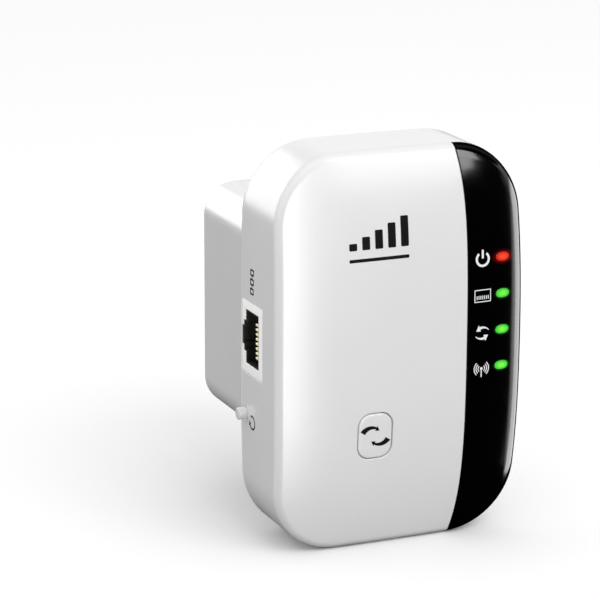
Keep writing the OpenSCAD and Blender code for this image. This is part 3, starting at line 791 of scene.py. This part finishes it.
class Finish:
    """A node material whose coordinates are object space in millimetres."""

    def __init__(self, name):
        self.material = bpy.data.materials.new(name)
        self.material.use_nodes = True
        self.tree = self.material.node_tree
        self.tree.nodes.clear()
        self.bsdf = self.add("ShaderNodeBsdfPrincipled")
        self.output = self.add("ShaderNodeOutputMaterial")
        self.link(self.bsdf.outputs[0], self.output.inputs["Surface"])
        coords = self.add("ShaderNodeTexCoord")
        self.mm = self.vector("SCALE", coords.outputs["Object"], scale=1 / MM)
        self.material.diffuse_color = (0.8, 0.8, 0.8, 1)

    def add(self, kind, **settings):
        node = self.tree.nodes.new(kind)
        for key, value in settings.items():
            setattr(node, key, value)
        return node

    def link(self, source, target):
        self.tree.links.new(source, target)

    def feed(self, socket, value):
        if isinstance(value, bpy.types.NodeSocket):
            self.link(value, socket)
        else:
            socket.default_value = value

    def vector(self, operation, a, b=None, scale=None):
        node = self.add("ShaderNodeVectorMath", operation=operation)
        self.feed(node.inputs[0], a)
        if b is not None:
            self.feed(node.inputs[1], b)
        if scale is not None:
            node.inputs["Scale"].default_value = scale
        return node.outputs[0]

    def math(self, operation, a, b=0.0, c=0.0):
        node = self.add("ShaderNodeMath", operation=operation)
        for socket, value in zip(node.inputs, (a, b, c)):
            self.feed(socket, value)
        return node.outputs[0]

    def split(self):
        node = self.add("ShaderNodeSeparateXYZ")
        self.link(self.mm, node.inputs[0])
        return node.outputs

    def noise(self, size, detail=2.0, stretch=(1, 1, 1)):
        """Noise from 0 to 1 with features about size millimetres across."""
        node = self.add("ShaderNodeTexNoise")
        self.link(self.vector("MULTIPLY", self.mm, stretch), node.inputs["Vector"])
        node.inputs["Scale"].default_value = 1 / size
        node.inputs["Detail"].default_value = detail
        return node.outputs["Fac"]

    def span(self, value, low, high, to_low, to_high, smoothly=False):
        node = self.add("ShaderNodeMapRange")
        node.interpolation_type = "SMOOTHSTEP" if smoothly else "LINEAR"
        for socket, setting in zip(node.inputs, (value, low, high, to_low, to_high)):
            self.feed(socket, setting)
        return node.outputs[0]

    def mix(self, share, a, b, blend="MIX"):
        node = self.add("ShaderNodeMix", data_type="RGBA", blend_type=blend)
        colour_in = [s for s in node.inputs if s.type == "RGBA"]
        self.feed(node.inputs[0], share)
        self.feed(colour_in[0], a if isinstance(a, bpy.types.NodeSocket) else (*a, 1))
        self.feed(colour_in[1], b if isinstance(b, bpy.types.NodeSocket) else (*b, 1))
        return [s for s in node.outputs if s.type == "RGBA"][0]

    def oval_distance(self, x, dz):
        """Distance from the middle of a lit window, which is 1 at the window's edge."""
        dx = self.math("DIVIDE", self.math("SUBTRACT", x, LIGHT_X), LIGHT_W / 2)
        dz = self.math("DIVIDE", dz, LIGHT_H / 2)
        squares = self.math("ADD", self.math("MULTIPLY", dx, dx), self.math("MULTIPLY", dz, dz))
        return self.math("SQRT", squares)

    def bump(self, height, depth):
        node = self.add("ShaderNodeBump")
        node.inputs["Strength"].default_value = 1
        node.inputs["Distance"].default_value = depth * MM
        self.feed(node.inputs["Height"], height)
        self.link(node.outputs[0], self.bsdf.inputs["Normal"])

    def set(self, **values):
        for key, value in values.items():
            self.feed(self.bsdf.inputs[key.replace("_", " ")], value)


def tinted(colour, factor):
    """A lighter or darker colour."""
    return tuple(min(1, c * factor) for c in colour)


def plain(name, colour, rough, metal=0.0, grain=0.35, depth=0.004, mottle=0.05, patch=5.0,
          stretch=(1, 1, 1), **extra):
    """Moulded or plated surface: fine grain in the relief, slow drift in colour and gloss."""
    f = Finish(name)
    drift = f.noise(patch, 3)
    colour_node = f.mix(drift, tinted(colour, 1 - mottle), tinted(colour, 1 + mottle))
    f.set(Base_Color=colour_node, Metallic=metal,
          Roughness=f.span(drift, 0.3, 0.7, rough * 0.88, rough * 1.12), **extra)
    f.bump(f.noise(grain, 2, stretch), depth)
    f.material.diffuse_color = (*colour, 1)
    return f


def white_abs():
    """Satin white plastic with a little light let in under the surface."""
    f = plain("white_abs", (0.80, 0.80, 0.802), 0.24, grain=0.5, depth=0.0012, mottle=0.006, patch=14)
    f.set(Subsurface_Weight=0.06, Subsurface_Radius=(1, 1, 1), Subsurface_Scale=0.0006)
    return f


FLAT_GLOSS, RIM_GLOSS = 0.1, 1.0     # how strongly the black panel's face and rim reflect


def black_gloss():
    """High-gloss black with a faint glow round each lit window. Its rim reflects the most."""
    f = plain("black_gloss", (0.0006, 0.0006, 0.0007), 0.085, grain=1.6, depth=0.0006, mottle=0.1)
    x, _, z = f.split()
    glow = None
    red, green = ((1, 0.02, 0.01), 1.1), ((0.1, 0.8, 0.04), 0.5)     # colour, and how far it reaches
    for light_z, (colour, reach) in zip(LIGHT_ZS, (red, green, green, green)):
        far = f.oval_distance(x, f.math("SUBTRACT", z, light_z))
        share = f.span(far, 1, 1 + reach, 1, 0, True)
        share = f.math("MULTIPLY", share, share)
        tint = f.mix(share, (0, 0, 0), colour)
        glow = tint if glow is None else f.mix(1, glow, tint, "ADD")
    gloss = f.span(x, LIGHT_X + 1.8, HALF_W - RIM_R - 0.8, FLAT_GLOSS, RIM_GLOSS, True)
    f.set(Emission_Color=glow, Emission_Strength=0.1, Specular_IOR_Level=gloss)
    return f


def lit(name, core, edge, strength):
    """Lit end of a light guide: brightest in the middle of each oval window."""
    f = Finish(name)
    x, _, z = f.split()
    pitch = LIGHT_ZS[0] - LIGHT_ZS[1]
    far = f.oval_distance(x, f.math("WRAP", f.math("SUBTRACT", z, LIGHT_ZS[0]), pitch / 2, -pitch / 2))
    speck = f.span(f.noise(0.5, 2), 0.3, 0.7, -0.08, 0.08)
    share = f.span(f.math("ADD", far, speck), 0.15, 1.0, 0, 1, True)
    f.set(Base_Color=(0.02, 0.02, 0.02, 1), Roughness=0.35, Specular_IOR_Level=0.0,
          Emission_Color=f.mix(share, core, edge), Emission_Strength=strength)
    f.bump(f.noise(0.4), 0.003)
    return f


def board_finish():
    """Solder mask with lighter traces, pads and a faint weave."""
    f = Finish("board")
    bricks = f.add("ShaderNodeTexBrick")
    turned = f.add("ShaderNodeMapping")
    turned.inputs["Rotation"].default_value = (math.pi / 2, 0, 0)
    f.link(f.mm, turned.inputs["Vector"])
    f.link(turned.outputs[0], bricks.inputs["Vector"])
    for key, value in (("Scale", 0.35), ("Mortar Size", 0.06), ("Mortar Smooth", 0.2)):
        bricks.inputs[key].default_value = value
    traces = bricks.outputs["Fac"]
    base = f.mix(f.noise(3), (0.012, 0.085, 0.04), (0.018, 0.12, 0.055))
    f.set(Base_Color=f.mix(traces, base, (0.04, 0.22, 0.1)), Roughness=0.35, Specular_IOR_Level=0.5)
    f.bump(f.math("ADD", traces, f.noise(0.3, 2)), 0.01)
    return f


def label_finish():
    """Brushed silver foil with a thin printed frame."""
    f = plain("label", (0.62, 0.62, 0.63), 0.4, 0.15, grain=0.15, depth=0.002, stretch=(1, 1, 12))
    low, high = mm_box("rating_label")
    middle, half = (low + high) / 2, (high - low) / 2
    x, _, z = f.split()
    margin, half_line = 0.9, 0.12
    away_x = f.math("SUBTRACT", half[0] - margin, f.math("ABSOLUTE", f.math("SUBTRACT", x, middle[0])))
    away_z = f.math("SUBTRACT", half[2] - margin, f.math("ABSOLUTE", f.math("SUBTRACT", z, middle[2])))
    line = f.math("LESS_THAN", f.math("ABSOLUTE", f.math("MINIMUM", away_x, away_z)), half_line)
    f.set(Base_Color=f.mix(line, (0.62, 0.62, 0.63), (0.05, 0.05, 0.05)))
    return f


def winding_finish():
    """Yellow tape with the edge of each turn showing."""
    f = plain("tape_yellow", (0.75, 0.52, 0.07), 0.32, grain=0.5, depth=0.01)
    wave = f.add("ShaderNodeTexWave", bands_direction="Z")
    f.link(f.mm, wave.inputs["Vector"])
    wave.inputs["Scale"].default_value = 0.35
    wave.inputs["Distortion"].default_value = 1.0
    f.bump(wave.outputs["Fac"], 0.05)
    return f


finishes = {
    "white_abs": white_abs(),
    "black_gloss": black_gloss(),
    # Painted light: a faint white glow in the port's moulding makes it show lighter than the lamps alone
    # would.
    "port_plastic": plain("port_plastic", (0.9, 0.9, 0.89), 0.38, mottle=0.02,
                          Emission_Color=(1, 1, 0.98, 1), Emission_Strength=0.14),
    "insert_plastic": plain("insert_plastic", (0.5, 0.5, 0.49), 0.5, depth=0.006),
    "dark_plastic": plain("dark_plastic", (0.008, 0.008, 0.009), 0.5, grain=0.25, depth=0.006,
                          Specular_IOR_Level=0.2),
    "clear_guide": plain("clear_guide", (0.9, 0.95, 0.93), 0.12, Transmission_Weight=0.85, IOR=1.49),
    "led_red": plain("led_red", (0.6, 0.04, 0.03), 0.2, Transmission_Weight=0.3),
    "led_green": plain("led_green", (0.1, 0.5, 0.08), 0.2, Transmission_Weight=0.3),
    "board": board_finish(),
    "blade_metal": plain("blade_metal", (0.7, 0.67, 0.62), 0.3, 0.8, grain=0.12, depth=0.003,
                         stretch=(1, 0.06, 1)),
    # Painted light: a warm glow in the contacts makes them show in the port's shaded opening.
    "gold_contacts": plain("gold_contacts", (0.92, 0.84, 0.5), 0.35, 0.5, grain=0.1, depth=0.002,
                           Emission_Color=(0.9, 0.85, 0.6, 1), Emission_Strength=0.3),
    "steel": plain("steel", (0.6, 0.6, 0.6), 0.3, 1.0, grain=0.12, depth=0.003, stretch=(0.1, 1, 1)),
    "ferrite": plain("ferrite", (0.045, 0.045, 0.05), 0.55, grain=0.15, depth=0.01),
    "tape_yellow": winding_finish(),
    "can_blue": plain("can_blue", (0.012, 0.018, 0.08), 0.2, grain=0.8, depth=0.003),
    "can_green": plain("can_green", (0.01, 0.06, 0.03), 0.2, grain=0.8, depth=0.003),
    "ceramic_blue": plain("ceramic_blue", (0.03, 0.12, 0.5), 0.45, grain=0.3, depth=0.012),
    "resistor_green": plain("resistor_green", (0.12, 0.36, 0.14), 0.5, grain=0.25, depth=0.01),
    "copper": plain("copper", (0.75, 0.33, 0.14), 0.25, 1.0, grain=0.2, depth=0.01,
                    stretch=(0.1, 3, 0.1)),
    "sheet": plain("sheet", (0.8, 0.77, 0.6), 0.5, grain=0.3, depth=0.004),
    "label": label_finish(),
    "wire_red": plain("wire_red", (0.5, 0.02, 0.015), 0.4, grain=0.3, depth=0.006),
    "wire_black": plain("wire_black", (0.015, 0.015, 0.016), 0.4, grain=0.3, depth=0.006),
}
ink_dark = plain("ink_dark", (0.004, 0.004, 0.005), 0.55, grain=0.1, depth=0.001,
                 Specular_IOR_Level=0.06)
ink_white = plain("ink_white", (0.86, 0.87, 0.88), 0.5, grain=0.1, depth=0.001)
lit_red = lit("lit_red", (1.0, 0.075, 0.008), (0.7, 0.005, 0.002), 1.0)
lit_green = lit("lit_green", (0.2, 1.0, 0.08), (0.04, 0.66, 0.03), 1.0)


def paint(obj, finish):
    """Makes finish the object's only material."""
    obj.data.materials.clear()
    obj.data.materials.append(finish.material)


for piece in (cover, housing, key, reset):
    paint(piece, finishes["white_abs"])
paint(panel, finishes["black_gloss"])
for piece in (front_mark, key_mark, port_mark, reset_mark):
    paint(piece, ink_dark)
paint(status_marks, ink_white)

paint(jack, finishes["port_plastic"])
paint(liner, finishes["dark_plastic"])
paint(contacts, finishes["gold_contacts"])
paint(blades, finishes["blade_metal"])
paint(guide, finishes["clear_guide"])
for finish in (lit_green, lit_red):
    guide.data.materials.append(finish.material)
for face in guide.data.polygons:
    middle = face.center / MM
    if middle.y < front_y(LIGHT_X, middle.z) + 1:
        face.material_index = 2 if middle.z > LIGHT_ZS[0] - 3 else 1

def finish_cad_node(obj, finish):
    """Finish and a small bevel on a CAD node that is kept."""
    paint(obj, finish)
    weld = obj.modifiers.new("weld", "WELD")
    weld.merge_threshold = 1e-6
    edge = obj.modifiers.new("edge", "BEVEL")
    edge.width = 0.12 * MM
    edge.segments = 2
    edge.limit_method = "ANGLE"
    edge.angle_limit = math.radians(40)
    edge.use_clamp_overlap = True
    obj.modifiers.new("shade", "WEIGHTED_NORMAL")


for part in frame["record"]["subparts"]:
    node_object = frame["nodes"][part["node"]]
    if not node_object.hide_render:
        finish_cad_node(node_object, finishes[part["material_slot"]])


# ---------- Stage, light and camera ----------

OBJECT_MIDDLE = Vector((0, -50, 0)) * MM
LIGHT_DISTANCE = 1.2
FLOOR_BOUNCE = 0.47      # how much of its light the floor throws back on the object


def build_floor():
    """White floor that shows bright to the camera and throws less light back on the object."""
    size = 6.0
    white = (0.95, 0.95, 0.95)
    z = COVER_LOW[2] * MM
    mesh = bpy.data.meshes.new("floor")
    mesh.from_pydata([(-size, -size, z), (size, -size, z), (size, size, z), (-size, size, z)],
                     [], [(0, 1, 2, 3)])
    floor = bpy.data.objects.new("floor", mesh)
    scene.collection.objects.link(floor)
    floor.visible_glossy = False
    floor.visible_shadow = False
    finish = plain("floor_white", white, 0.9, grain=3, depth=0.01, mottle=0.004, patch=200,
                   Specular_IOR_Level=0.0)
    path = finish.add("ShaderNodeLightPath")
    seen = finish.math("MULTIPLY_ADD", path.outputs["Is Camera Ray"], 1 - FLOOR_BOUNCE, FLOOR_BOUNCE)
    finish.set(Base_Color=finish.mix(seen, (0, 0, 0), white))
    paint(floor, finish)


def direction_to(azimuth, elevation):
    """Unit direction: azimuth runs from the front (-Y) towards the right (+X)."""
    a, e = math.radians(azimuth), math.radians(elevation)
    return Vector((math.sin(a) * math.cos(e), -math.cos(a) * math.cos(e), math.sin(e)))


def link_light(light, piece, state):
    """Limits a light to one piece (INCLUDE) or keeps it off that piece (EXCLUDE)."""
    group = bpy.data.collections.new(light.name + "_receivers")
    group.objects.link(piece)
    group.collection_objects[0].light_linking.link_state = state
    light.light_linking.receiver_collection = group


def panel_light(name, azimuths, elevations, radiance, gloss=True, roll=0):
    """Rectangular light between two azimuths and two elevations, facing the object. A gloss
    light shows only in reflections, and any other lights only the matt part of a surface."""
    distance = LIGHT_DISTANCE
    light = bpy.data.lights.new(name, "AREA")
    light.shape = "RECTANGLE"
    light.size = 2 * distance * math.tan(math.radians(azimuths[1] - azimuths[0]) / 2)
    light.size_y = 2 * distance * math.tan(math.radians(elevations[1] - elevations[0]) / 2)
    light.energy = math.pi * light.size * light.size_y * radiance
    obj = bpy.data.objects.new(name, light)
    toward = direction_to(sum(azimuths) / 2, sum(elevations) / 2)
    obj.location = OBJECT_MIDDLE + toward * distance
    aim = (-toward).to_track_quat("-Z", "Y").to_matrix() @ Matrix.Rotation(math.radians(roll), 3, "Z")
    obj.rotation_euler = aim.to_euler()
    obj.visible_camera = False
    obj.visible_diffuse = not gloss
    obj.visible_glossy = gloss
    scene.collection.objects.link(obj)
    return obj


def build_world(diffuse, glossy):
    """White surroundings, dimmer where gloss mirrors them."""
    world = bpy.data.worlds.new("studio")
    world.use_nodes = True
    nodes, links = world.node_tree.nodes, world.node_tree.links
    nodes.clear()
    path = nodes.new("ShaderNodeLightPath")
    output = nodes.new("ShaderNodeOutputWorld")
    mix = nodes.new("ShaderNodeMixShader")
    for index, strength in ((1, diffuse), (2, glossy)):
        background = nodes.new("ShaderNodeBackground")
        background.inputs["Color"].default_value = (1, 1, 1, 1)
        background.inputs["Strength"].default_value = strength
        links.new(background.outputs[0], mix.inputs[index])
    links.new(path.outputs["Is Glossy Ray"], mix.inputs[0])
    links.new(mix.outputs[0], output.inputs["Surface"])
    world.cycles.sampling_method = "NONE"
    scene.world = world


def build_camera():
    """Long lens, to the left of the front and a little above."""
    yaw, pitch, roll = (math.radians(a) for a in (23.34, 15.26, 0.22))
    camera = bpy.data.cameras.new("camera")
    camera.lens = 163.28
    camera.sensor_width = 36
    camera.clip_start = 0.02
    obj = bpy.data.objects.new("camera", camera)
    turn = (Matrix.Rotation(-yaw, 3, "Z") @ Matrix.Rotation(math.pi / 2 - pitch, 3, "X")
            @ Matrix.Rotation(roll, 3, "Z"))
    obj.matrix_world = Matrix.Translation(Vector((-233.1, -545.1, 158.3)) * MM) @ turn.to_4x4()
    scene.collection.objects.link(obj)
    scene.camera = obj


build_floor()
build_world(0.95, 0.0)
panel_light("key_light", (-10, 30), (30, 60), 2.4, gloss=False)
top_cards = (((20.5, 29.5), 10.8), ((29.5, 31.5), 12), ((31.5, 33.5), 14.5))
for i, (azimuths, lowest) in enumerate(top_cards):
    for place, state, radiance in (("cover", "EXCLUDE", 7), ("panel", "INCLUDE", 35)):
        card = panel_light(f"top_card_{place}_{i + 1}", azimuths, (lowest, 55), radiance)
        link_light(card, panel, state)
for name, azimuths, elevations, radiance, roll, state in (
        ("left_card", (-9, 13), (-25, 20), 8.5, 0, "EXCLUDE"),
        ("left_fade", (-9, 13), (-35, -25), 4, 0, "EXCLUDE"),
        ("right_card", (44.2, 92), (-32, 22), 5.2, 10, "INCLUDE"),
        ("right_fade", (42, 44.2), (-32, 10), 1.7, 7, "INCLUDE")):
    link_light(panel_light(name, azimuths, elevations, radiance, roll=roll), panel, state)
for name, azimuths, elevations, radiance in (
        ("sky_card", (-60, 80), (55, 88), 0.8),
        ("far_left_card", (-135, -60), (-30, 40), 0.6),
        ("back_card", (181, 222), (-2, 32), 3.6),
        ("back_fade", (140, 180), (4, 32), 0.9)):
    panel_light(name, azimuths, elevations, radiance)
build_camera()
scene.view_settings.view_transform = "Standard"
